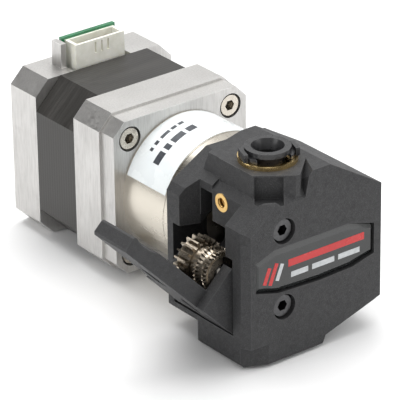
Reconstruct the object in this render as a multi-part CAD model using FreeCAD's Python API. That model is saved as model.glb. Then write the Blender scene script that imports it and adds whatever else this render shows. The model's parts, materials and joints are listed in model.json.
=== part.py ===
"""Geared filament extruder: stepper motor, planetary gearbox, twin drive gears, quick-release lever.

Millimetres, +Z up, motor behind (+Y). The origin is the filament outlet in the foot's lower face.
The solids are laid out around the motor axis (x = z = 0, y = 0 at the gearbox flange's front face)
and moved to the origin as they are written.
"""
import FreeCAD
import Part
import math
import os

V = FreeCAD.Vector
os.makedirs("parts", exist_ok=True)

# --- the motor axis, seen from the filament outlet ---
GEAR_PITCH_R = 5.5              # drive gear pitch radius, so the filament runs this far from the axis
FIL_X, FIL_Y = -GEAR_PITCH_R, -40.8
FOOT_Z = -24.6
SHIFT = V(-FIL_X, -FIL_Y, -FOOT_Z)

# --- motor ---
MOTOR_HALF = 21.15
BELL_CHAMFER, STATOR_CHAMFER = 3.95, 7.7
FLANGE_HALF, FLANGE_CHAMFER, FLANGE_T = 20.45, 3.4, 5.0
FRONT_BELL_Y = (FLANGE_T, 15.5)
STATOR_Y = (15.5, 31.5)
REAR_BELL_Y = (31.5, 42.4)
CAVITY_R, BEARING_R, SHAFT_R = 17.0, 8.0, 2.5
BELL_WALL, BEARING_T = 3.0, 5.0
PILOT_R, PILOT_T = 11.0, 2.0
BOLT_HALF = 15.5                # 31 mm square bolt pattern
POLES, POLE_W, ROTOR_R = 8, 3.2, 11.5
COIL_R, COIL_Y = (12.9, 16.4), (13.6, 32.4)

# --- gearbox ---
BOX_R, RING_LEN, BOX_LEN = 18.0, 16.0, 22.0
SUN_TEETH, PLANET_TEETH, RING_TEETH = 11, 17, 46
PLANETS, PLANET_ORBIT, PLANET_Y = 3, 8.55, (-12.4, -3.0)
OUT_R, OUT_TIP_Y = 4.0, -42.6
BOSS_T = 2.0
FACE_X, FACE_Z = 9.9, (-10.9, 8.9)   # four M3 holes, 1 mm below the motor axis as a group
LABEL_T, LABEL_DEG = 0.1, (-21.0, 159.0)

# --- M3 screws ---
M3_R, M3_HOLE, HEAD_R, HEAD_T, HEAD_HOLE = 1.5, 1.56, 2.7, 2.9, 3.25
HEAD_SINK = 0.9

# --- housing ---
HALF = 21.15
REAR_Y, SEAM_Y, FRONT_Y = -22.0, -33.4, -52.4
PLATE_Y = -24.2                 # front of the thin plate against the gearbox
ARM_X = -16.3                   # floor of the lever's recess
POST_Y, WINDOW_FRONT_Y = -44.35, -47.0
LEDGE_Z, WINDOW_TOP, POST_TOP = -17.1, 6.4, 10.9
TOP_Z, RIDGE_X = 22.1, (-14.0, 13.7)
CHAMBER_X = -8.4
PLAY = 0.3

# --- lever, drawn closed and stored open ---
PIVOT = (-13.6, -13.6)
LEVER_OPEN = 44.0
ARM_IN = ARM_X - PLAY
ARM_Y = (POST_Y + PLAY, -27.2)
TAIL_TOP, TAIL_Y, WIDE_TOP = 30.8, -31.85, 4.4
CHEEK_FRONT, CHEEK_REAR, CHEEK_IN = -46.65, -28.8, (-43.5, -31.5)
PIN_R = 1.5

# --- drive gears ---
TEETH, TIP_R, ROOT_R = 20, 5.95, 4.8
SPUR_Y, HOB_Y, GEAR_FRONT = (-36.3, -32.0), (-42.95, -38.7), -43.2
HOB_TEETH, HOB_R, HOB_ROOT, HUB_R, GROOVE_R = 32, 5.42, 4.7, 4.4, 1.6
IDLER = (-2 * GEAR_PITCH_R, 0.0)


def box(x, y, z):
    (x0, x1), (y0, y1), (z0, z1) = sorted(x), sorted(y), sorted(z)
    return Part.makeBox(x1 - x0, y1 - y0, z1 - z0, V(x0, y0, z0))


def rod_x(y, z, r, x):
    return Part.makeCylinder(r, abs(x[1] - x[0]), V(min(x), y, z), V(1, 0, 0))


def rod_y(x, z, r, y):
    return Part.makeCylinder(r, abs(y[1] - y[0]), V(x, min(y), z), V(0, 1, 0))


def rod_z(x, y, r, z):
    return Part.makeCylinder(r, abs(z[1] - z[0]), V(x, y, min(z)))


def prism_y(points, y):
    wire = Part.makePolygon([V(a, min(y), b) for a, b in points + points[:1]])
    return Part.Face(wire).extrude(V(0, abs(y[1] - y[0]), 0))


def prism_z(points, z):
    wire = Part.makePolygon([V(a, b, min(z)) for a, b in points + points[:1]])
    return Part.Face(wire).extrude(V(0, 0, abs(z[1] - z[0])))


def prism_x(points, x):
    wire = Part.makePolygon([V(min(x), a, b) for a, b in points + points[:1]])
    return Part.Face(wire).extrude(V(abs(x[1] - x[0]), 0, 0))


def ring_wire(points, y):
    return Part.makePolygon([V(a, y, b) for a, b in points + points[:1]])


def join(shapes):
    return shapes[0].multiFuse(shapes[1:]).removeSplitter() if len(shapes) > 1 else shapes[0]


def square(half, chamfer, y):
    a, b = half, half - chamfer
    return prism_y([(-a, -b), (-b, -a), (b, -a), (a, -b), (a, b), (b, a), (-b, a), (-a, b)], y)


def polar(r, deg):
    return r * math.cos(math.radians(deg)), r * math.sin(math.radians(deg))


def toothed(teeth, root, tip, share, phase, centre=(0.0, 0.0)):
    """Outline of straight-flanked teeth; share is the tooth's part of the pitch at mid height."""
    pitch, out = 360.0 / teeth, []
    for k in range(teeth):
        mid = phase + k * pitch
        for r, w in ((root, -0.68), (tip, -0.32), (tip, 0.32), (root, 0.68)):
            a, b = polar(r, mid + w * share * pitch)
            out.append((centre[0] + a, centre[1] + b))
    return out


def four(x):
    return [(sx * x, sz * x) for sx in (-1, 1) for sz in (-1, 1)]


def hex_y(x, z, flats, y):
    return prism_y([(x + a, z + b) for a, b in (polar(flats / math.sqrt(3), 60 * k) for k in range(6))], y)


def screw_y(x, z, head_y, tip_y, depth=2.1):
    """Socket screw whose head faces -Y."""
    s = join([rod_y(x, z, HEAD_R, (head_y, head_y + HEAD_T)), rod_y(x, z, M3_R, (head_y + HEAD_T, tip_y))])
    return s.cut(hex_y(x, z, 2.5, (head_y - 1, head_y + depth)))


def ring_y(x, z, r_out, r_in, y):
    return rod_y(x, z, r_out, y).cut(rod_y(x, z, r_in, (y[0] - 1, y[1] + 1)))


def emit(name, shape, moved=None):
    s = shape.copy()
    if moved is not None:
        s.rotate(*moved)
    s.translate(SHIFT)
    s.exportStep("parts/%s.step" % name)


# ---------------------------------------------------------------- motor
def bell(y, inner, outer):
    """End bell: square casting with a round cavity towards the stator and a bearing seat."""
    way = math.copysign(1.0, outer - inner)
    far = outer - BELL_WALL * way
    seat_end = far - (BEARING_T + 0.2) * way
    body = square(MOTOR_HALF, BELL_CHAMFER, y).cut(rod_y(0, 0, CAVITY_R, (inner, far)))
    body = join([body, rod_y(0, 0, BEARING_R + 2.5, (far, seat_end))])
    return body.cut(rod_y(0, 0, BEARING_R, (far, seat_end))), far


front_bell, front_wall = bell(FRONT_BELL_Y, FRONT_BELL_Y[1], FRONT_BELL_Y[0])
rear_bell, rear_wall = bell(REAR_BELL_Y, REAR_BELL_Y[0], REAR_BELL_Y[1])

front_bell = join([front_bell, rod_y(0, 0, PILOT_R, (FLANGE_T - PILOT_T, FLANGE_T))])
front_bell = front_bell.cut(rod_y(0, 0, 5.2, (FLANGE_T - 3, front_wall)))
for px, pz in four(BOLT_HALF):
    front_bell = front_bell.cut(rod_y(px, pz, M3_HOLE, FRONT_BELL_Y))
emit("motor_front_bell", front_bell)

# connector opening: a pocket in the rear bell's top, a latch post beside it
CON_X, CON_Y = (-9.3, 8.4), (31.5, 39.0)
rear_bell = rear_bell.cut(box(CON_X, (REAR_BELL_Y[0] - 1, CON_Y[1]), (13.0, MOTOR_HALF + 1)))
rear_bell = join([rear_bell, box((CON_X[0] - 1.6, CON_X[0]), (34.6, 38.6), (18.0, 27.6))])
rear_bell = rear_bell.cut(rod_y(0, 0, 3.2, (rear_wall - 1, REAR_BELL_Y[1] + 1)))
for px, pz in four(BOLT_HALF):
    rear_bell = rear_bell.cut(rod_y(px, pz, M3_HOLE, (REAR_BELL_Y[0] - 1, 40.1)))
    rear_bell = rear_bell.cut(rod_y(px, pz, HEAD_HOLE, (39.3, REAR_BELL_Y[1] + 1)))
emit("motor_rear_bell", rear_bell)

stator = square(MOTOR_HALF, STATOR_CHAMFER, STATOR_Y).cut(rod_y(0, 0, CAVITY_R + 0.2, STATOR_Y))
pole = join([box((11.9, CAVITY_R + 1.0), STATOR_Y, (-POLE_W / 2, POLE_W / 2)),
             box((11.9, 12.6), STATOR_Y, (-3.4, 3.4))])
coil = box(COIL_R, COIL_Y, (-2.9, 2.9)).cut(box((12, 18), (15.3, 31.7), (-1.75, 1.75)))
poles, coils = [], []
for k in range(POLES):
    for source, out in ((pole, poles), (coil, coils)):
        s = source.copy()
        s.rotate(V(0, 0, 0), V(0, 1, 0), k * 360.0 / POLES)
        out.append(s)
stator = join([stator] + poles).cut(rod_y(0, 0, ROTOR_R + 0.25, STATOR_Y))
for px, pz in four(BOLT_HALF):
    stator = stator.cut(rod_y(px, pz, M3_HOLE + 0.1, STATOR_Y))
emit("motor_stator", stator)
emit("motor_coils", Part.makeCompound(coils))

emit("motor_bearings", Part.makeCompound([
    ring_y(0, 0, BEARING_R - 0.02, SHAFT_R, (front_wall, front_wall + BEARING_T)),
    ring_y(0, 0, BEARING_R - 0.02, SHAFT_R, (rear_wall - BEARING_T, rear_wall))]))
emit("rotor_shaft", rod_y(0, 0, SHAFT_R, (-2.0, 41.8)))
emit("rotor_core", Part.makeCompound([
    ring_y(0, 0, ROTOR_R, SHAFT_R, y) for y in ((16.4, 22.4), (24.6, 30.6))]))
emit("rotor_magnet", ring_y(0, 0, ROTOR_R - 0.8, SHAFT_R, (22.4, 24.6)))

screws = []
for px, pz in four(BOLT_HALF):
    s = join([rod_y(px, pz, HEAD_R, (39.4, 41.9)), rod_y(px, pz, M3_R, (12.2, 39.4))])
    screws.append(s.cut(hex_y(px, pz, 2.5, (40.4, 43.0))))
emit("motor_screws", Part.makeCompound(screws))

# connector
HEAD_X, HEAD_Y, HEAD_Z = (-7.7, 7.3), (32.6, 37.4), (15.6, 27.2)
PINS, PIN_PITCH, PIN_W = 6, 2.0, 0.5
header = box(HEAD_X, HEAD_Y, HEAD_Z).cut(
    box((HEAD_X[0] + 0.9, HEAD_X[1] - 0.9), (HEAD_Y[0] + 0.7, HEAD_Y[1] - 0.6), (18.0, 30.0)))
mid_x = (HEAD_X[0] + HEAD_X[1]) / 2
for k in (-1, 0, 1):
    slit = mid_x + 0.5 + 1.95 * k
    header = header.cut(box((slit - 0.28, slit + 0.28), (HEAD_Y[0] - 1, HEAD_Y[0] + 0.9), (23.6, 26.6)))
pin_y = (HEAD_Y[0] + HEAD_Y[1]) / 2


def pin_set(z):
    rows = [mid_x + (k - (PINS - 1) / 2) * PIN_PITCH for k in range(PINS)]
    return [box((x - PIN_W / 2, x + PIN_W / 2), (pin_y - PIN_W / 2, pin_y + PIN_W / 2), z) for x in rows]


for slot in pin_set((15, 19)):
    header = header.cut(slot)
emit("connector_header", header)
emit("connector_pins", Part.makeCompound(pin_set((16.2, 24.8))))
emit("connector_board", box((-8.6, 7.9), (HEAD_Y[1], HEAD_Y[1] + 1.2), (13.4, 27.8)))

# ---------------------------------------------------------------- gearbox
flange = square(FLANGE_HALF, FLANGE_CHAMFER, (0, FLANGE_T))
flange = flange.cut(rod_y(0, 0, PILOT_R + 0.03, (FLANGE_T - PILOT_T, FLANGE_T + 1)))
flange = flange.cut(rod_y(0, 0, 6.0, (-1, FLANGE_T)))
for px, pz in four(BOLT_HALF):
    flange = flange.cut(rod_y(px, pz, HEAD_HOLE, (-1, 3.2))).cut(rod_y(px, pz, M3_HOLE, (0, 6)))
emit("gearbox_flange", flange)
emit("flange_screws", Part.makeCompound([screw_y(px, pz, 0.3, 10.9) for px, pz in four(BOLT_HALF)]))

FACE_HOLES = [(x, z) for x in (-FACE_X, FACE_X) for z in FACE_Z]
SUN_ROOT, SUN_TIP = 2.65, 3.95
PLANET_ROOT, PLANET_TIP = 4.4, 5.65
RING_TIP, RING_ROOT = 13.25, 14.5
TOOTH_SHARE = 0.40
ring = rod_y(0, 0, BOX_R, (-RING_LEN, 0)).cut(
    prism_y(toothed(RING_TEETH, RING_TIP, RING_ROOT, 0.60, 90.0), (-RING_LEN - 1, 1)))
emit("ring_gear", ring)

sleeve = rod_y(0, 0, BOX_R + LABEL_T, (-RING_LEN + 0.4, -0.4)).cut(rod_y(0, 0, BOX_R, (-30, 30)))
label_step = (LABEL_DEG[1] - LABEL_DEG[0]) / 6
wedge = [(0.0, 0.0)] + [polar(3 * BOX_R, LABEL_DEG[0] + k * label_step) for k in range(7)]
emit("gearbox_label", sleeve.common(prism_y(wedge, (-RING_LEN, 0))))

sun = prism_y(toothed(SUN_TEETH, SUN_ROOT, SUN_TIP, TOOTH_SHARE, 90.0), (-13.0, -2.4))
sun = join([sun, rod_y(0, 0, 4.6, (-2.4, 6.0))]).cut(rod_y(0, 0, SHAFT_R, (-2.0, 7)))
emit("sun_gear", sun)

for k in range(PLANETS):
    at = 90.0 + k * 360.0 / PLANETS
    cx, cz = polar(PLANET_ORBIT, at)
    lag = ((k * SUN_TEETH / PLANETS) % 1.0) * 360.0 / SUN_TEETH
    gap = at + 180.0 + lag * SUN_TEETH / PLANET_TEETH
    phase = gap + 180.0 / PLANET_TEETH
    outline = toothed(PLANET_TEETH, PLANET_ROOT, PLANET_TIP, TOOTH_SHARE, phase, (cx, cz))
    planet = prism_y(outline, PLANET_Y).cut(rod_y(cx, cz, PIN_R + 0.04, PLANET_Y))
    emit("planet_gear_%d" % (k + 1), planet)

orbit = [polar(PLANET_ORBIT, 90.0 + k * 360.0 / PLANETS) for k in range(PLANETS)]
carrier = join([rod_y(0, 0, 11.6, (-15.6, -13.2)), rod_y(0, 0, OUT_R, (OUT_TIP_Y, -15.0))])
carrier = carrier.cut(box((-5, 5), (OUT_TIP_Y - 1, -25.5), (OUT_R - 0.5, OUT_R + 1)))
for cx, cz in orbit:
    carrier = carrier.cut(rod_y(cx, cz, PIN_R, (-16, -13)))
emit("planet_carrier", carrier)
emit("planet_pins", Part.makeCompound([rod_y(cx, cz, PIN_R, (-15.6, -2.6)) for cx, cz in orbit]))

cap = rod_y(0, 0, BOX_R, (-BOX_LEN, -RING_LEN - 0.15))
cap = join([cap, rod_y(0, 0, BOX_R - 0.5, (-RING_LEN - 0.5, -RING_LEN)),
            rod_y(0, 0, PILOT_R, (-BOX_LEN - BOSS_T, -BOX_LEN))])
cap = cap.cut(rod_y(0, 0, BEARING_R, (-23.4, -RING_LEN + 1))).cut(rod_y(0, 0, 5.0, (-30, 0)))
for px, pz in FACE_HOLES:
    cap = cap.cut(rod_y(px, pz, M3_HOLE, (-BOX_LEN - 1, -17.2)))
emit("gearbox_cap", cap)
emit("output_bearings", Part.makeCompound([
    ring_y(0, 0, BEARING_R - 0.02, OUT_R, y) for y in ((-23.3, -19.9), (-19.6, -16.2))]))

# ---------------------------------------------------------------- lever and its cavity
def lever_parts():
    px, pz = PIVOT
    low, top = (-HALF, -13.6), 1.7
    neck = [(-11.8, -7.8), (-11.8, -11.4), (-13.0, -12.0), (-15.0, -13.6)]
    cheek = [(-HALF, top), (-9.2, top), (-8.8, -1.2), (-9.6, -5.2)] + neck + [low]
    core = [(-HALF, top), (ARM_IN, top), (ARM_IN, -7.8)] + neck + [low]
    hub = rod_y(px, pz, 2.75, (CHEEK_FRONT, SEAM_Y - 0.8))
    heel = rod_y(px, pz, 7.75, (CHEEK_FRONT, SEAM_Y - 0.8)).common(
        box((-HALF, -15.0), (CHEEK_FRONT, SEAM_Y), (-22.0, pz)))
    rear = [(-HALF, top), (-9.2, top), (-8.8, -1.2), (-9.6, -4.5), (-13.0, -7.5), (ARM_IN, -9.0),
            (-HALF, -9.0)]
    plan = [(-HALF, ARM_Y[1]), (ARM_IN, ARM_Y[1] - 1.8), (ARM_IN, ARM_Y[0]), (-HALF, ARM_Y[0])]
    grip = [(-HALF, -9.0), (ARM_IN, -9.0), (ARM_IN, 21.2), (-17.1, 22.8), (-17.5, 24.6), (-17.6, 26.6),
            (-17.45, 28.4), (-17.0, 29.8), (-17.1, TAIL_TOP - 0.4), (-17.6, TAIL_TOP), (-20.6, TAIL_TOP),
            (-HALF, TAIL_TOP - 0.6)]
    arm = prism_z(plan, (-9.0, WIDE_TOP)).common(prism_y(grip, ARM_Y))
    tail = prism_y(grip, (ARM_Y[0], TAIL_Y))
    body = join([prism_y(cheek, (CHEEK_FRONT, CHEEK_IN[0])), prism_y(core, (CHEEK_FRONT, SEAM_Y - 0.8)),
                 hub, heel, prism_y(rear, (CHEEK_IN[1], CHEEK_REAR)), arm, tail])
    body = body.cut(rod_y(IDLER[0], IDLER[1], TIP_R + 0.45, CHEEK_IN))
    body = body.cut(rod_y(IDLER[0], IDLER[1], PIN_R, (CHEEK_FRONT + 0.7, CHEEK_REAR - 0.4)))
    body = body.cut(rod_y(px, pz, PIN_R + 0.05, (-60, 0)))
    for y, z in (((-38.7, -35.3), (7.8, 16.0)), ((-38.2, -36.0), (-7.2, 0.6))):
        body = body.cut(box((-30, -10), y, z))
    return body


def opened():
    return V(PIVOT[0], 0, PIVOT[1]), V(0, 1, 0), -LEVER_OPEN


def hobbed(phase, centre, hub_end, bore):
    """Drive gear: spur teeth behind, plain waist, grooved and nicked filament ring in front."""
    x, z = centre
    parts = [prism_y(toothed(TEETH, ROOT_R, TIP_R, 0.36, phase, centre), SPUR_Y),
             prism_y(toothed(HOB_TEETH, HOB_ROOT, HOB_R, 0.5, phase, centre), HOB_Y),
             rod_y(x, z, HUB_R, (GEAR_FRONT, hub_end))]
    if hub_end > SPUR_Y[1] + 1:
        parts.append(rod_y(x, z, TIP_R, (SPUR_Y[1] + 0.3, hub_end)))
    groove = Part.makeTorus(HOB_ROOT + GROOVE_R + 0.05, GROOVE_R, V(x, FIL_Y, z), V(0, 1, 0))
    body = join(parts).cut(groove)
    return body.cut(rod_y(x, z, bore, (GEAR_FRONT - 1, hub_end + 1)))


emit("lever", lever_parts(), opened())
emit("idler_gear", hobbed(180.0 / TEETH, IDLER, -31.8, 2.5), opened())
emit("idler_bearings", Part.makeCompound([
    ring_y(IDLER[0], IDLER[1], 2.5, PIN_R + 0.03, y) for y in ((-43.0, -38.0), (-37.0, -32.0))]), opened())
emit("idler_pin", rod_y(IDLER[0], IDLER[1], PIN_R, (CHEEK_FRONT + 0.7, CHEEK_REAR - 0.4)), opened())
emit("lever_pin", rod_y(PIVOT[0], PIVOT[1], PIN_R, (-49.4, -28.6)))

SET_Y = -29.0
drive = hobbed(0.0, (0.0, 0.0), -26.2, OUT_R + 0.02)
drive = drive.cut(rod_z(0, SET_Y, PIN_R, (3.0, 8.0)))
emit("drive_gear", drive)
set_screw = rod_z(0, SET_Y, PIN_R, (OUT_R - 0.5, 5.8)).cut(
    prism_z([(a, SET_Y + b) for a, b in (polar(0.87, 60 * k) for k in range(6))], (4.6, 7)))
emit("gear_set_screw", set_screw)

# ---------------------------------------------------------------- housing
def window():
    """Everything the lever and the two drive gears move in."""
    px, pz = PIVOT
    inside = (-HALF - 2, CHAMBER_X)
    recess = prism_z([(-HALF - 2, -26.0), (-HALF, -26.8), (ARM_X, -28.7), (ARM_X, POST_Y),
                      (-HALF - 2, POST_Y)], (LEDGE_Z, 40.0))
    heel = rod_y(px, pz, 8.05, (WINDOW_FRONT_Y, SEAM_Y - 0.5))
    heel = heel.common(box((-30, CHAMBER_X), (-60, -20), (-24, pz)))
    stop = prism_y([(-21.5, -16.72), (-20.2, -18.06), (-20.2, -16.7)], (WINDOW_FRONT_Y, PLATE_Y))
    return [recess, heel, stop,
            box(inside, (-43.9, -28.7), (LEDGE_Z, WINDOW_TOP)),
            box(inside, (-28.8, PLATE_Y), (LEDGE_Z, 4.0)),
            box(inside, (WINDOW_FRONT_Y, -43.8), (LEDGE_Z, 2.9)),
            rod_y(IDLER[0], IDLER[1], TIP_R + 0.45, (-43.9, PLATE_Y)),
            rod_y(0, 0, TIP_R + 0.5, (-45.0, PLATE_Y))]


CUTS = window()
ROOF = [(HALF, 10.0), (20.7, 11.5), (19.8, 12.5), (8.6, 19.3), (-9.2, 19.8), (-19.7, 13.7), (-HALF, 11.9)]
rear_profile = [(-HALF, -18.4), (-20.35, -19.2), (13.0, -19.2), (HALF, -16.8)] + ROOF
# ridge: flat top that slopes away to the rear and to the rear left
RIDGE_TOP = [(RIDGE_X[0], SEAM_Y), (RIDGE_X[0], -29.2), (-9.8, -27.3), (-0.4, -24.4), (RIDGE_X[1], -24.4)]
RIDGE_BASE = [(RIDGE_X[0], SEAM_Y), (RIDGE_X[0], -26.5), (-12.0, -23.6), (-4.0, REAR_Y),
              (RIDGE_X[1], REAR_Y)]
ridge = Part.makeLoft([Part.makePolygon([V(x, y, z) for x, y in points + [(RIDGE_X[1], SEAM_Y), points[0]]])
                       for points, z in ((RIDGE_BASE, 15.5), (RIDGE_TOP, TOP_Z))], True, True)
under_roof = [(RIDGE_X[0], 10), (RIDGE_X[0], TOP_Z), (3.9, TOP_Z), (RIDGE_X[1], 16.1), (RIDGE_X[1], 10)]
ridge = ridge.common(prism_y(under_roof, (SEAM_Y, REAR_Y)))
housing = join([prism_y(rear_profile, (SEAM_Y, REAR_Y)), ridge])
for c in CUTS:
    housing = housing.cut(c)
housing = housing.cut(box((ARM_X - 1, -12.2), (SEAM_Y - 1, -28.9), (WINDOW_TOP - 0.5, 13.6)))
lug = join([rod_y(PIVOT[0], PIVOT[1], 3.4, (SEAM_Y, -26.0)),
            box((-16.4, -10.8), (SEAM_Y, -26.0), (-18.9, PIVOT[1]))])
housing = join([housing, lug.common(prism_y(rear_profile, (SEAM_Y, REAR_Y)))])
housing = housing.cut(rod_y(0, 0, PILOT_R + 0.05, (PLATE_Y - 1, REAR_Y + 1)))
housing = housing.cut(rod_y(PIVOT[0], PIVOT[1], PIN_R, (SEAM_Y - 1, -28.5)))
for px, pz in FACE_HOLES:
    housing = housing.cut(rod_y(px, pz, M3_HOLE, (SEAM_Y - 1, REAR_Y + 1)))
    if px > 0:
        housing = housing.cut(rod_y(px, pz, HEAD_HOLE, (SEAM_Y - 1, PLATE_Y)))
emit("housing", housing)
emit("housing_screws", Part.makeCompound([
    screw_y(FACE_X, pz, PLATE_Y - HEAD_T, -17.6) for pz in FACE_Z]))

# collar around the push-fit, standing up from the cover with a corner towards the front
COLLAR_LEFT, COLLAR_FRONT = [(-14.2, SEAM_Y), (-14.2, -46.0)], [(-6.2, -52.1), (-4.9, -52.1)]
collar_plan = COLLAR_LEFT + COLLAR_FRONT + [(2.0, -45.8), (2.0, SEAM_Y)]
profile = [(-HALF, -23.8), (-20.35, FOOT_Z), (1.8, FOOT_Z), (2.7, -22.6), (17.6, -18.1), (19.6, -17.4),
           (20.7, -16.5), (HALF, -15.2), (HALF, 10.0), (20.7, 11.5), (19.8, 12.5), (3.9, TOP_Z),
           (-HALF, TOP_Z)]
plan = [(-HALF, SEAM_Y), (-HALF, -50.1), (-19.9, FRONT_Y), (19.7, FRONT_Y), (HALF, -50.3), (HALF, SEAM_Y)]
cover = prism_y(profile, (FRONT_Y, SEAM_Y)).common(prism_z(plan, (FOOT_Z, TOP_Z)))
# shoulders: the material outside the collar falls away to the left and to the front
EDGE_IN, EDGE_BACK = 1.25, 2.6
block = prism_y([(-HALF - 1, POST_TOP - 3), (-5.4, POST_TOP - 3), (-2.2, TOP_Z), (-1.9, TOP_Z + 1),
                 (-HALF - 1, TOP_Z + 1)], (FRONT_Y - 1, SEAM_Y + 1))
flank = [(-HALF, POST_TOP - 4), (-HALF, POST_TOP), (-14.0, 16.5), (-9.0, 19.0), (-1.0, 23.0),
         (-1.0, POST_TOP - 4)]
inset = [(x + EDGE_IN, z - EDGE_IN * 0.6) for x, z in flank[:5]] + [(-1.0, POST_TOP - 4)]

nose = Part.makeLoft([ring_wire(inset, FRONT_Y), ring_wire(flank, FRONT_Y + EDGE_BACK)], True, True)
shoulder = join([nose, prism_y(flank, (FRONT_Y + EDGE_BACK, SEAM_Y))])
fall = [(FRONT_Y, POST_TOP - 5), (FRONT_Y, 15.6), (FRONT_Y + 6, 22.6), (SEAM_Y, 25.0),
        (SEAM_Y, POST_TOP - 5)]
shoulder = shoulder.common(prism_x(fall, (-30, 10)))
collar = prism_z(collar_plan, (POST_TOP, TOP_Z))
# V-shaped notch between the collar and the cover's own top, running out to the rear
notch = Part.makeLoft([ring_wire([(-5.9, 17.6), (-5.9, 24), (0.2, 24)], FRONT_Y - 0.6),
                       ring_wire([(1.9, 21.8), (1.9, 24), (3.4, 24)], -45.4)], True, True)
cover = join([join([cover.cut(block), cover.common(shoulder)]).cut(notch), cover.common(collar)])
# bevelled front corner of the foot, and a set-back seam strip along the lever's side
cover = cover.cut(prism_z([(-HALF - 1, -49.6), (-HALF, -49.6), (-14.8, FRONT_Y), (-14.8, FRONT_Y - 1),
                           (-HALF - 1, FRONT_Y - 1)], (FOOT_Z - 1, -19.2)))
for c in CUTS:
    cover = cover.cut(c)
# pocket in the collar's diagonal facet
(ax, ay), (bx, by) = COLLAR_LEFT[1], COLLAR_FRONT[0]
pocket = box((0.35, 7.2), (-3.0, 1.2), (15.6, TOP_Z - 0.4))
pocket.rotate(V(0, 0, 0), V(0, 0, 1), math.degrees(math.atan2(by - ay, bx - ax)))
pocket.translate(V(ax, ay, 0))
# badge recess
BADGE = [(-18.5, 2.9), (-13.0, 4.9), (10.0, 4.8), (17.6, 2.6),
         (17.6, -5.4), (10.9, -7.0), (0.8, -7.3), (-11.8, -6.7), (-18.5, -4.8)]
cover = cover.cut(prism_y(BADGE, (FRONT_Y - 1, FRONT_Y + 1.6)))
for pz in FACE_Z:
    cover = cover.cut(rod_y(-FACE_X, pz, M3_HOLE, (FRONT_Y, SEAM_Y)))
    cover = cover.cut(rod_y(-FACE_X, pz, HEAD_HOLE, (FRONT_Y - 1, FRONT_Y + HEAD_SINK + HEAD_T)))
cover = cover.cut(rod_y(PIVOT[0], PIVOT[1], PIN_R, (-49.4, SEAM_Y)))
# filament path: inlet bush seat, bore, outlet tube seat
BUSH_R, BUSH_Z = 7.2, (13.4, 23.2)
PATH_R, OUTLET_R, OUTLET_LEN = 1.7, 2.1, 6.0
cover = cover.cut(rod_z(FIL_X, FIL_Y, BUSH_R, (BUSH_Z[0], TOP_Z + 1)))
cover = cover.cut(rod_z(FIL_X, FIL_Y, PATH_R, (FOOT_Z - 1, TOP_Z)))
cover = cover.cut(rod_z(FIL_X, FIL_Y, OUTLET_R, (FOOT_Z - 1, FOOT_Z + OUTLET_LEN)))
# threaded insert seat in the recess floor
INSERT_Y, INSERT_Z, INSERT_R, INSERT_LEN = -37.0, 12.5, 2.3, 3.6
cover = cover.cut(rod_x(INSERT_Y, INSERT_Z, INSERT_R, (ARM_X - 1, ARM_X + INSERT_LEN)))
cover = cover.cut(pocket)
emit("cover", cover)
emit("cover_screws", Part.makeCompound([
    screw_y(-FACE_X, pz, FRONT_Y + HEAD_SINK, -17.6) for pz in FACE_Z]))

insert = rod_x(INSERT_Y, INSERT_Z, INSERT_R, (ARM_X - 0.15, ARM_X + INSERT_LEN))
insert = insert.cut(rod_x(INSERT_Y, INSERT_Z, 1.25, (ARM_X - 1, ARM_X + INSERT_LEN + 1)))
emit("threaded_insert", insert)

# domed badge: a flat back, then sides that slope in to a smaller face
GAP = 0.28
BADGE_Y = (FRONT_Y + 0.2, FRONT_Y + 0.8, FRONT_Y + 1.6)


def shrunk(dx, dz):
    mid = (max(z for x, z in BADGE) + min(z for x, z in BADGE)) / 2
    return [(x * (1 - dx / 18.5), mid + (z - mid) * (1 - dz / 6.0)) for x, z in BADGE]


rim = shrunk(GAP, GAP)
dome = Part.makeLoft([ring_wire(shrunk(1.0, 1.7), BADGE_Y[0]), ring_wire(rim, BADGE_Y[1])], True, True)
badge = join([dome, prism_y(rim, BADGE_Y[1:])])
emit("cover_badge", badge)

# ---------------------------------------------------------------- push-fit
bush = rod_z(FIL_X, FIL_Y, BUSH_R, BUSH_Z).cut(rod_z(FIL_X, FIL_Y, 6.5, (22.0, 25)))
bush = bush.cut(rod_z(FIL_X, FIL_Y, 4.15, (15.0, 23))).cut(rod_z(FIL_X, FIL_Y, PATH_R, (13, 16)))
emit("push_fit_bush", bush)
COLLET_TOP, COLLET_R, TUBE_R, MOUTH, CLIP_TURN = 25.6, 5.6, 3.1, 2.6, 20.0
collet = join([rod_z(FIL_X, FIL_Y, 4.1, (15.3, COLLET_TOP)),
               rod_z(FIL_X, FIL_Y, COLLET_R, (24.35, COLLET_TOP))])
collet = collet.cut(rod_z(FIL_X, FIL_Y, TUBE_R, (15, 27)))
collet = collet.cut(Part.makeCone(TUBE_R, 4.0, MOUTH, V(FIL_X, FIL_Y, COLLET_TOP - MOUTH)))
emit("push_fit_collet", collet)
clip = rod_z(FIL_X, FIL_Y, 6.4, (23.3, 24.3)).cut(rod_z(FIL_X, FIL_Y, 4.25, (23, 25)))
clip = clip.cut(box((FIL_X - 4.25, FIL_X + 4.25), (FIL_Y - 8, FIL_Y), (23, 25)))
for sx in (-1, 1):
    ear = box((FIL_X + sx * 5.9, FIL_X + sx * 6.9), (FIL_Y - 3.2, FIL_Y + 1.2), (23.3, 25.3))
    clip = join([clip, ear])
emit("collet_clip", clip, (V(FIL_X, FIL_Y, 0), V(0, 0, 1), -CLIP_TURN))
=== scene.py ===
import bpy
import json
import math
from mathutils import Matrix, Vector


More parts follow.
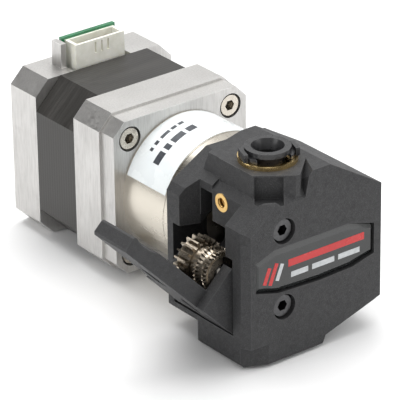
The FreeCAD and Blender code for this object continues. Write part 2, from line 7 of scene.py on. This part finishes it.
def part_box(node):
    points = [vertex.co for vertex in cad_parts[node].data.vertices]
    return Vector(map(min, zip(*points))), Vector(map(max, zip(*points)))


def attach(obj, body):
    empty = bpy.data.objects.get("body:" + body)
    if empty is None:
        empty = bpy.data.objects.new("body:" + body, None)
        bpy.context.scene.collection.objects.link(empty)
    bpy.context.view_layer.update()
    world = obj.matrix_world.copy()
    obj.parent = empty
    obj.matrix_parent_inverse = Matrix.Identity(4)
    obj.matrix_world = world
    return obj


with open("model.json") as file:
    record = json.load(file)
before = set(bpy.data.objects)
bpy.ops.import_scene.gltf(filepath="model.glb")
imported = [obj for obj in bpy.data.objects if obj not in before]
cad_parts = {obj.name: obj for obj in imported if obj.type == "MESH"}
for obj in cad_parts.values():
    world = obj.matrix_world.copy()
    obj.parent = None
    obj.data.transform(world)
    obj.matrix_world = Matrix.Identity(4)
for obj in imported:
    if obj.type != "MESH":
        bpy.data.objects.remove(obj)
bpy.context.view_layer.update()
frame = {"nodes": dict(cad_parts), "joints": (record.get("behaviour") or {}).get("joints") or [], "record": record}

NODES = frame["nodes"]
scene = bpy.context.scene

# the motor axis, in metres: x = AX, z = AZ, and y = AY at the gearbox flange's front face
AX, AY, AZ = next(j["pos_m"] for j in frame["joints"] if j["name"] == "rotor_spin")
GEARBOX_R = 0.018
MM = 0.001

# the camera: where it stands, the point it aims at, its tilt about that line and its lens in millimetres
EYE, TARGET = Vector((-0.4272, -0.5320, 0.3668)), Vector((0.0111, 0.0408, 0.0172))
ROLL, LENS, SENSOR = math.radians(-0.83), 289.9, 36.0


# ------------------------------------------------------------------ camera
def add_camera():
    forward = (TARGET - EYE).normalized()
    level = forward.cross(Vector((0, 0, 1))).normalized()
    upright = level.cross(forward)
    right = level * math.cos(ROLL) + upright * math.sin(ROLL)
    up = upright * math.cos(ROLL) - level * math.sin(ROLL)
    data = bpy.data.cameras.new("camera")
    data.sensor_width, data.lens, data.clip_start, data.clip_end = SENSOR, LENS, 0.05, 20.0
    cam = bpy.data.objects.new("camera", data)
    place = Matrix((right, up, -forward)).transposed().to_4x4()
    place.translation = EYE
    cam.matrix_world = place
    scene.collection.objects.link(cam)
    scene.camera = cam


add_camera()


# ------------------------------------------------------------------ node helpers
class Shade:
    """Small builder for one procedural material: t is its node tree, b its shader, co the object's space."""

    def __init__(self, name, rough=0.5, metal=0.0):
        self.mat = bpy.data.materials.new(name)
        self.mat.use_nodes = True
        self.t = self.mat.node_tree
        self.b = self.t.nodes["Principled BSDF"]
        self.b.inputs["Roughness"].default_value = rough
        self.b.inputs["Metallic"].default_value = metal
        self.co = self.t.nodes.new("ShaderNodeTexCoord").outputs["Object"]

    def node(self, kind, **props):
        n = self.t.nodes.new(kind)
        for k, v in props.items():
            setattr(n, k, v)
        return n

    def link(self, a, b):
        self.t.links.new(a, b)

    def stretch(self, scale):
        """Object coordinates scaled along each axis."""
        m = self.node("ShaderNodeMapping")
        m.inputs["Scale"].default_value = scale
        self.link(self.co, m.inputs["Vector"])
        return m.outputs["Vector"]

    def noise(self, scale, detail=3.0, rough=0.55, stretch=(1, 1, 1)):
        n = self.node("ShaderNodeTexNoise")
        n.inputs["Scale"].default_value = scale
        n.inputs["Detail"].default_value = detail
        n.inputs["Roughness"].default_value = rough
        self.link(self.stretch(stretch), n.inputs["Vector"])
        return n.outputs["Fac"]

    def cells(self, scale):
        n = self.node("ShaderNodeTexVoronoi")
        n.inputs["Scale"].default_value = scale
        self.link(self.co, n.inputs["Vector"])
        return n.outputs["Distance"]

    def bands(self, axis, scale):
        n = self.node("ShaderNodeTexWave", wave_type="BANDS", bands_direction=axis)
        n.inputs["Scale"].default_value = scale
        self.link(self.co, n.inputs["Vector"])
        return n.outputs["Fac"]

    def math(self, op, a, b):
        n = self.node("ShaderNodeMath", operation=op)
        for k, v in enumerate((a, b)):
            if isinstance(v, (int, float)):
                n.inputs[k].default_value = v
            else:
                self.link(v, n.inputs[k])
        return n.outputs[0]

    def span(self, value, lo, hi, low=0.0, high=1.0):
        """value from lo..hi carried over to low..high, and held there beyond them."""
        n = self.node("ShaderNodeMapRange")
        for k, v in zip(("From Min", "From Max", "To Min", "To Max"), (lo, hi, low, high)):
            n.inputs[k].default_value = v
        self.link(value, n.inputs["Value"])
        return n.outputs["Result"]

    def edge(self, radius, lo=0.02, hi=0.25):
        """1 along outer edges, 0 on flat faces."""
        bev = self.node("ShaderNodeBevel", samples=6)
        bev.inputs["Radius"].default_value = radius
        geo = self.node("ShaderNodeNewGeometry")
        dot = self.node("ShaderNodeVectorMath", operation="DOT_PRODUCT")
        self.link(bev.outputs["Normal"], dot.inputs[0])
        self.link(geo.outputs["Normal"], dot.inputs[1])
        return self.span(self.math("SUBTRACT", 1.0, dot.outputs["Value"]), lo, hi)

    def hollow(self, reach, alone=True):
        """Mask for painted shade: 1 deep in sockets and gaps, 0 on open faces; alone leaves the neighbouring
        pieces out.
        """
        ao = self.node("ShaderNodeAmbientOcclusion", samples=6, only_local=alone)
        ao.inputs["Distance"].default_value = reach
        return self.span(ao.outputs["AO"], 0.25, 0.85, 1.0, 0.0)

    def ramp(self, value, stops):
        """Colour from (position, colour) stops."""
        n = self.node("ShaderNodeValToRGB")
        el = n.color_ramp.elements
        while len(el) < len(stops):
            el.new(0.5)
        for e, (pos, col) in zip(el, stops):
            e.position = pos
            e.color = (*col, 1.0)
        self.link(value, n.inputs["Fac"])
        return n.outputs["Color"]

    def mix(self, fac, a, b):
        n = self.node("ShaderNodeMix", data_type="RGBA")
        if isinstance(fac, (int, float)):
            n.inputs[0].default_value = fac
        else:
            self.link(fac, n.inputs[0])
        for k, v in ((6, a), (7, b)):
            if isinstance(v, tuple):
                n.inputs[k].default_value = (*v, 1.0)
            else:
                self.link(v, n.inputs[k])
        return n.outputs[2]

    def colour(self, value):
        self.link(value, self.b.inputs["Base Color"])

    def roughness(self, value):
        self.link(value, self.b.inputs["Roughness"])

    def bump(self, layers):
        """Relief from (height, strength, depth in metres) layers, each on top of the one before."""
        last = None
        for height, strength, distance in layers:
            n = self.node("ShaderNodeBump")
            n.inputs["Strength"].default_value = strength
            n.inputs["Distance"].default_value = distance
            self.link(height, n.inputs["Height"])
            if last is not None:
                self.link(last, n.inputs["Normal"])
            last = n.outputs["Normal"]
        self.link(last, self.b.inputs["Normal"])

    def set(self, **values):
        for k, v in values.items():
            self.b.inputs[k.replace("_", " ")].default_value = v
        return self


# ------------------------------------------------------------------ materials
def nylon():
    """Sintered black nylon: fine gritty grain, slightly greyed on its edges."""
    s = Shade("black_nylon", 0.62)
    grit = s.noise(5200, 2.0, 0.6)
    fine = s.cells(3400)
    patch = s.noise(90, 4.0)
    base = s.ramp(patch, [(0.3, (0.017, 0.017, 0.018)), (0.7, (0.023, 0.023, 0.024))])
    speck = s.mix(s.span(grit, 0.50, 0.70), base, (0.054, 0.054, 0.056))
    s.colour(s.mix(s.math("MULTIPLY", s.edge(0.0005), 0.4), speck, (0.090, 0.090, 0.091)))
    s.roughness(s.span(s.noise(700), 0.3, 0.7, 0.55, 0.72))
    s.bump([(patch, 0.08, 0.0006), (fine, 0.35, 0.00010), (grit, 0.5, 0.00010)])
    return s.set(Specular_IOR_Level=0.5).mat


def cast():
    """Blasted aluminium casting with faint cutter grain and a painted highlight along its edges."""
    s = Shade("cast_aluminium", 0.42, 1.0)
    grain = s.noise(2200, 4.0, 0.6, (1.0, 1.0, 0.10))
    pits = s.noise(2600, 3.0, 0.65)
    cloud = s.noise(70, 3.0)
    base = s.ramp(cloud, [(0.3, (0.54, 0.53, 0.515)), (0.7, (0.62, 0.61, 0.595))])
    grey = s.mix(s.span(grain, 0.40, 0.68, 0.0, 0.45), base, (0.44, 0.43, 0.415))
    dirt = s.mix(s.span(s.noise(240, 5.0), 0.62, 0.74, 0.0, 0.35), grey, (0.42, 0.41, 0.40))
    # painted highlight: the corners are lightened toward bright aluminium
    s.colour(s.mix(s.math("MULTIPLY", s.edge(0.0004), 0.6), dirt, (0.80, 0.80, 0.79)))
    s.roughness(s.span(grain, 0.3, 0.7, 0.34, 0.52))
    s.bump([(grain, 0.22, 0.00012), (pits, 0.25, 0.00006)])
    return s.mat


def lamination():
    """Stack of thin black-painted sheets, edges seen along the motor's length."""
    s = Shade("lamination", 0.42, 0.2)
    sheets = s.bands("Y", 314)
    streak = s.noise(420, 4.0, 0.6, (0.10, 1.0, 0.10))
    base = s.ramp(streak, [(0.32, (0.028, 0.026, 0.024)), (0.55, (0.038, 0.036, 0.033)),
                           (0.78, (0.056, 0.052, 0.048))])
    s.colour(s.mix(s.span(sheets, 0.0, 0.25, 0.35, 0.0), base, (0.022, 0.021, 0.019)))
    s.roughness(s.span(streak, 0.3, 0.7, 0.34, 0.52))
    s.bump([(sheets, 0.22, 0.00005), (streak, 0.2, 0.00004), (s.noise(1800), 0.12, 0.00004)])
    return s.mat


def metal(name, low, high, rough=(0.2, 0.36), brushed=(1.0, 1.0, 1.0), scale=600, edge=0.5, bump=0.12,
          painted_shade=0.0):
    """Metal between two tones: brushed stretches its grain, edge paints a highlight on its corners, painted_shade
    darkens its gaps as painted shade.
    """
    s = Shade(name, rough[0], 1.0)
    n = s.noise(scale, 4.0, 0.6, brushed)
    base = s.ramp(n, [(0.3, low), (0.7, high)])
    bright = tuple(min(1.0, v * 1.18 + 0.03) for v in high)
    # painted highlight: the corners are lightened toward a brighter tone
    tone = s.mix(s.math("MULTIPLY", s.edge(0.0002), edge), base, bright)
    if painted_shade:
        # painted shade: the colour darkens toward a near-black tone deep in sockets, gaps and recesses
        tone = s.mix(s.math("MULTIPLY", s.hollow(0.0016), painted_shade), tone, tuple(v * 0.12 for v in low))
    s.colour(tone)
    s.roughness(s.span(n, 0.3, 0.7, rough[0], rough[1]))
    s.bump([(n, bump, 0.00003), (s.noise(scale * 5), bump * 0.6, 0.00002)])
    return s.mat


def plastic(name, low, high, rough=(0.32, 0.45), scale=800, coat=0.0, sss=0.0, edge=None, painted_shade_gap=0.0):
    """Plastic, film or ink between two tones: edge colours its corners, painted_shade_gap is how far painted shade
    darkens its joints.
    """
    s = Shade(name, rough[0])
    n = s.noise(scale, 3.0)
    base = s.ramp(n, [(0.3, low), (0.7, high)])
    if edge:
        base = s.mix(s.math("MULTIPLY", s.edge(0.0003), 0.6), base, edge)
    if painted_shade_gap:
        # painted shade: the colour darkens to near-black where neighbouring pieces close in on the surface
        base = s.mix(s.hollow(painted_shade_gap, alone=False), base, (0.002, 0.002, 0.002))
    s.colour(base)
    s.roughness(s.span(n, 0.3, 0.7, rough[0], rough[1]))
    s.bump([(s.noise(scale * 3), 0.10, 0.00003)])
    s.set(Coat_Weight=coat, Subsurface_Weight=sss)
    s.b.inputs["Subsurface Radius"].default_value = (0.0008, 0.0007, 0.0005)
    return s.mat


def board():
    """Green circuit board with its glass weave."""
    s = Shade("circuit_board", 0.28)
    weave = s.math("MULTIPLY", s.bands("X", 900), s.bands("Z", 900))
    n = s.noise(300, 3.0)
    s.colour(s.mix(s.span(weave, 0.2, 0.9, 0.0, 0.25),
                   s.ramp(n, [(0.3, (0.012, 0.13, 0.05)), (0.7, (0.02, 0.20, 0.08))]), (0.05, 0.30, 0.12)))
    s.roughness(s.span(n, 0.3, 0.7, 0.22, 0.36))
    s.bump([(weave, 0.15, 0.00003)])
    return s.set(Coat_Weight=0.3).mat


MAT = {
    "cast_alloy": cast(),
    "lamination": lamination(),
    "winding": metal("winding", (0.40, 0.13, 0.05), (0.62, 0.24, 0.10), (0.25, 0.4), (1, 1, 8), 900),
    "magnet": metal("magnet", (0.16, 0.16, 0.17), (0.26, 0.26, 0.27), (0.4, 0.55)),
    "bright_steel": metal("bright_steel", (0.56, 0.54, 0.51), (0.72, 0.70, 0.67), (0.16, 0.30), (1, 8, 1)),
    "plated_steel": metal("plated_steel", (0.64, 0.595, 0.515), (0.69, 0.645, 0.565), (0.26, 0.32),
                          (1, 0.2, 1), 260, 0.4, 0.015),
    "gear_steel": metal("gear_steel", (0.42, 0.36, 0.285), (0.55, 0.48, 0.39), (0.24, 0.34), (1, 1, 1),
                        900, 0.8, 0.03, 0.85),
    "black_nylon": nylon(),
    "black_screw": metal("black_screw", (0.030, 0.030, 0.031), (0.060, 0.060, 0.062), (0.34, 0.5), (1, 1, 1),
                         1200, 0.35, 0.1, 0.9),
    "brass": metal("brass", (0.82, 0.58, 0.25), (0.90, 0.67, 0.32), (0.16, 0.24), (1, 1, 3), 300, 0.8, 0.02),
    "black_acetal": plastic("black_acetal", (0.018, 0.018, 0.019), (0.030, 0.030, 0.032), (0.24, 0.38), 900,
                            0.15, edge=(0.075, 0.075, 0.078)),
    "header_nylon": plastic("header_nylon", (0.76, 0.75, 0.66), (0.86, 0.85, 0.78), (0.38, 0.5), 500,
                            0.0, 0.15),
    "board": board(),
    "contact": metal("contact", (0.66, 0.64, 0.60), (0.82, 0.80, 0.76), (0.18, 0.3)),
    "label": plastic("label_film", (0.76, 0.80, 0.81), (0.83, 0.865, 0.865), (0.22, 0.34), 160, 0.25),
    "badge": plastic("badge_resin", (0.010, 0.011, 0.011), (0.016, 0.018, 0.018), (0.12, 0.18), 120, 0.3,
                     painted_shade_gap=0.0008),
}

for row in frame["record"]["subparts"]:
    ob = NODES[row["node"]]
    ob.data.materials.clear()
    ob.data.materials.append(MAT[row["material_slot"]])

nickel_screws = metal("nickel_screws", (0.50, 0.46, 0.40), (0.66, 0.61, 0.54), (0.2, 0.32), (1, 1, 1),
                      900, 0.8, 0.06, 0.95)
for name in ("flange_screws", "motor_screws"):
    NODES[name].data.materials[0] = nickel_screws
black_oxide_screws = metal("black_oxide_screws", (0.075, 0.075, 0.077), (0.115, 0.115, 0.118), (0.32, 0.45),
                           (1, 1, 1), 1200, 0.6, 0.1, 0.95)
for name in ("cover_screws", "housing_screws"):
    NODES[name].data.materials[0] = black_oxide_screws


def thread_brass():
    """Brass insert: turned face, with the screw thread's rings down its bore."""
    s = Shade("thread_brass", 0.3, 1.0)
    n = s.noise(900, 4.0)
    rings = s.bands("X", 320)
    base = s.ramp(n, [(0.3, (0.70, 0.44, 0.15)), (0.7, (0.86, 0.60, 0.25))])
    s.colour(s.mix(s.span(rings, 0.2, 0.8, 0.0, 0.5), base, (0.42, 0.24, 0.07)))
    s.roughness(s.span(n, 0.3, 0.7, 0.28, 0.42))
    s.bump([(rings, 0.9, 0.00025), (n, 0.1, 0.00003)])
    return s.mat


NODES["threaded_insert"].data.materials[0] = thread_brass()


# ------------------------------------------------------------------ rounded edges
EDGE_ANGLE, EDGE_STEPS = math.radians(32.0), 3


def soften(name, width):
    """Round every corner of a node sharper than EDGE_ANGLE."""
    m = NODES[name].modifiers.new("edge", "BEVEL")
    m.width, m.segments, m.limit_method, m.angle_limit = width, EDGE_STEPS, "ANGLE", EDGE_ANGLE
    m.harden_normals = True
    m.use_clamp_overlap = True


EDGES = {
    0.00045: ("cover", "housing"),
    0.0004: ("motor_front_bell", "motor_rear_bell", "gearbox_flange"),
    0.00035: ("lever",),
    0.0003: ("gearbox_cap", "push_fit_collet"),
    0.00025: ("push_fit_bush",),
    0.0002: ("collet_clip", "cover_screws", "flange_screws", "motor_screws"),
    0.00018: ("connector_header",),
    0.00012: ("motor_stator", "threaded_insert"),
    0.0001: ("connector_board", "cover_badge"),
    0.00005: ("drive_gear", "idler_gear"),
}
for width, names in EDGES.items():
    for name in names:
        soften(name, width)


# ------------------------------------------------------------------ printed marks (generic, no lettering)
def mesh_piece(name, verts, faces, material):
    """New mesh object that rides on the motor and feeder's own body."""
    me = bpy.data.meshes.new(name)
    me.from_pydata([Vector(v) for v in verts], [], faces)
    me.update()
    ob = bpy.data.objects.new(name, me)
    scene.collection.objects.link(ob)
    me.materials.append(material)
    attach(ob, "frame")
    return ob


ink_red = plastic("ink_red", (0.46, 0.008, 0.010), (0.52, 0.013, 0.013), (0.2, 0.3), 120, 0.2)
ink_pale = plastic("ink_pale", (0.42, 0.44, 0.45), (0.52, 0.54, 0.55), (0.1, 0.18), 900, 0.6)
ink_dark = plastic("ink_dark", (0.035, 0.04, 0.05), (0.07, 0.075, 0.085), (0.3, 0.45), 900)

# the badge's marks, in millimetres about the motor axis: a thin film of ink, just proud of the badge
INK_FILM, INK_PROUD = 0.05, 0.03
BADGE_Y = (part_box("cover_badge")[0][1] - AY) / MM - INK_PROUD
MARK_Z = -1.4
SLASH_WIDTH, SLASH_LEAN = 1.1, 0.4


def plate(name, outlines, material):
    """Flat printed shapes on the badge: each outline is (x, z) in mm about the motor axis."""
    verts, faces = [], []
    for pts in outlines:
        n, k = len(pts), len(verts)
        for y in (BADGE_Y, BADGE_Y + INK_FILM):
            verts += [(AX + x * MM, AY + y * MM, AZ + z * MM) for x, z in pts]
        faces += [tuple(range(k, k + n)), tuple(range(k + 2 * n - 1, k + n - 1, -1))]
        faces += [(k + i, k + n + i, k + n + (i + 1) % n, k + (i + 1) % n) for i in range(n)]
    return mesh_piece(name, verts, faces, material)


def ribbon(pts, width):
    """Closed outline of a stroke of even width through the points."""
    left, right = [], []
    for i, (x, z) in enumerate(pts):
        a, b = pts[max(0, i - 1)], pts[min(len(pts) - 1, i + 1)]
        d = Vector((b[0] - a[0], b[1] - a[1])).normalized() * width / 2
        left.append((x - d.y, z + d.x))
        right.append((x + d.y, z - d.x))
    return left + right[::-1]


def stripe(x0, x1, dz, width):
    """Level stroke on the badge from x0 to x1, dz above the marks' middle line."""
    return ribbon([(x0, MARK_Z + dz), (x1, MARK_Z + dz)], width)


def slash(x, reach):
    """Leaning stroke on the badge, its middle at x."""
    lean = SLASH_LEAN * reach
    return ribbon([(x - lean, MARK_Z - reach), (x + lean, MARK_Z + reach)], SLASH_WIDTH)


dashes = [stripe(a, b, -1.7, 1.4) for a, b in ((-7.8, -2.6), (-1.4, 5.4), (6.6, 13.2))]
plate("badge_mark_red", [slash(-15.0, 2.0), slash(-13.1, 2.6), stripe(-8.6, 14.6, 1.5, 1.9)], ink_red)
plate("badge_mark_pale", [slash(-11.2, 2.0)] + dashes, ink_pale)


# the label's rows of dashes: y in mm from the flange's front, height in mm, and each dash's span in degrees;
# they lie LABEL_LIFT outside the gearbox body and are drawn in steps of about DASH_STEP degrees
LABEL_LIFT, DASH_STEP = 0.000115, 2
LABEL_ROWS = ((-8.3, 2.2, [(96, 104), (107, 119), (122, 127), (130, 141)]),
              (-4.4, 1.1, [(98, 103), (105, 110), (112, 121), (124, 128), (131, 134)]))


def label_marks():
    """Short dashes printed round the gearbox label, in two rows."""
    verts, faces = [], []
    r = GEARBOX_R + LABEL_LIFT
    for y, height, spans in LABEL_ROWS:
        for a, b in spans:
            steps = max(2, int((b - a) / DASH_STEP))
            k = len(verts)
            for i in range(steps + 1):
                t = math.radians(a + (b - a) * i / steps)
                for edge in (y - height / 2, y + height / 2):
                    verts.append((AX + r * math.cos(t), AY + edge * MM, AZ + r * math.sin(t)))
            faces += [(k + 2 * i, k + 2 * i + 1, k + 2 * i + 3, k + 2 * i + 2) for i in range(steps)]
    return mesh_piece("label_marks", verts, faces, ink_dark)


label_marks()


# ------------------------------------------------------------------ floor and light
# the part leans back: it stands on the foot's rear edge, at FOOT_REAR, and the motor's lower rear edge
FOOT_REAR, FLOOR_HALF, FLOOR_DROP = 0.0074, 3.0, 0.00005
rear_low, rear_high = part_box("motor_rear_bell")
FLOOR_SLOPE = rear_low[2] / (rear_high[1] - FOOT_REAR)


def floor():
    s = Shade("pale_floor", 0.75)
    n = s.noise(14, 3.0)
    s.colour(s.ramp(n, [(0.3, (0.86, 0.86, 0.86)), (0.7, (0.89, 0.89, 0.89))]))
    s.bump([(s.noise(900), 0.02, 0.0002)])
    plan = [(x * FLOOR_HALF, y * FLOOR_HALF) for x, y in ((-1, -1), (1, -1), (1, 1), (-1, 1))]
    corners = [(x, y, (y - FOOT_REAR) * FLOOR_SLOPE - FLOOR_DROP) for x, y in plan]
    me = bpy.data.meshes.new("floor")
    me.from_pydata(corners, [], [(0, 1, 2, 3)])
    ob = bpy.data.objects.new("floor", me)
    scene.collection.objects.link(ob)
    me.materials.append(s.mat)


HUB = Vector((0.011, 0.04, 0.02))


def soft_box(name, place, size, power):
    """Rectangular studio light, aimed at the middle of the part."""
    data = bpy.data.lights.new(name, "AREA")
    data.shape, data.size, data.size_y, data.energy = "RECTANGLE", size[0], size[1], power
    ob = bpy.data.objects.new(name, data)
    ob.location = place
    ob.rotation_euler = (HUB - Vector(place)).to_track_quat("-Z", "Y").to_euler()
    scene.collection.objects.link(ob)


floor()
soft_box("top_box", (0.10, 0.25, 0.85), (0.9, 0.9), 9.0)
soft_box("left_box", (-0.95, 0.10, 0.40), (0.5, 0.8), 2.6)
soft_box("front_box", (0.50, -0.85, 0.32), (0.7, 0.5), 1.5)
soft_box("right_box", (0.9, -0.2, 0.6), (0.6, 0.6), 2.0)


DARK_PATCH = Vector((-0.44, 0.72, 0.55)).normalized()
STUDIO_STRENGTH = 0.68


def studio_world():
    """Even white studio with one soft dark patch, high behind the left of the part."""
    world = bpy.data.worlds.new("studio")
    world.use_nodes = True
    tree = world.node_tree
    way = tree.nodes.new("ShaderNodeTexCoord").outputs["Generated"]
    dot = tree.nodes.new("ShaderNodeVectorMath")
    dot.operation = "DOT_PRODUCT"
    dot.inputs[1].default_value = DARK_PATCH
    tree.links.new(way, dot.inputs[0])
    fade = tree.nodes.new("ShaderNodeMapRange")
    for k, v in zip(("From Min", "From Max", "To Min", "To Max"), (0.70, 0.95, 1.0, 0.12)):
        fade.inputs[k].default_value = v
    tree.links.new(dot.outputs["Value"], fade.inputs["Value"])
    shade = tree.nodes["Background"]
    tree.links.new(fade.outputs["Result"], shade.inputs["Color"])
    shade.inputs["Strength"].default_value = STUDIO_STRENGTH
    scene.world = world


studio_world()
scene.view_settings.view_transform = "Standard"
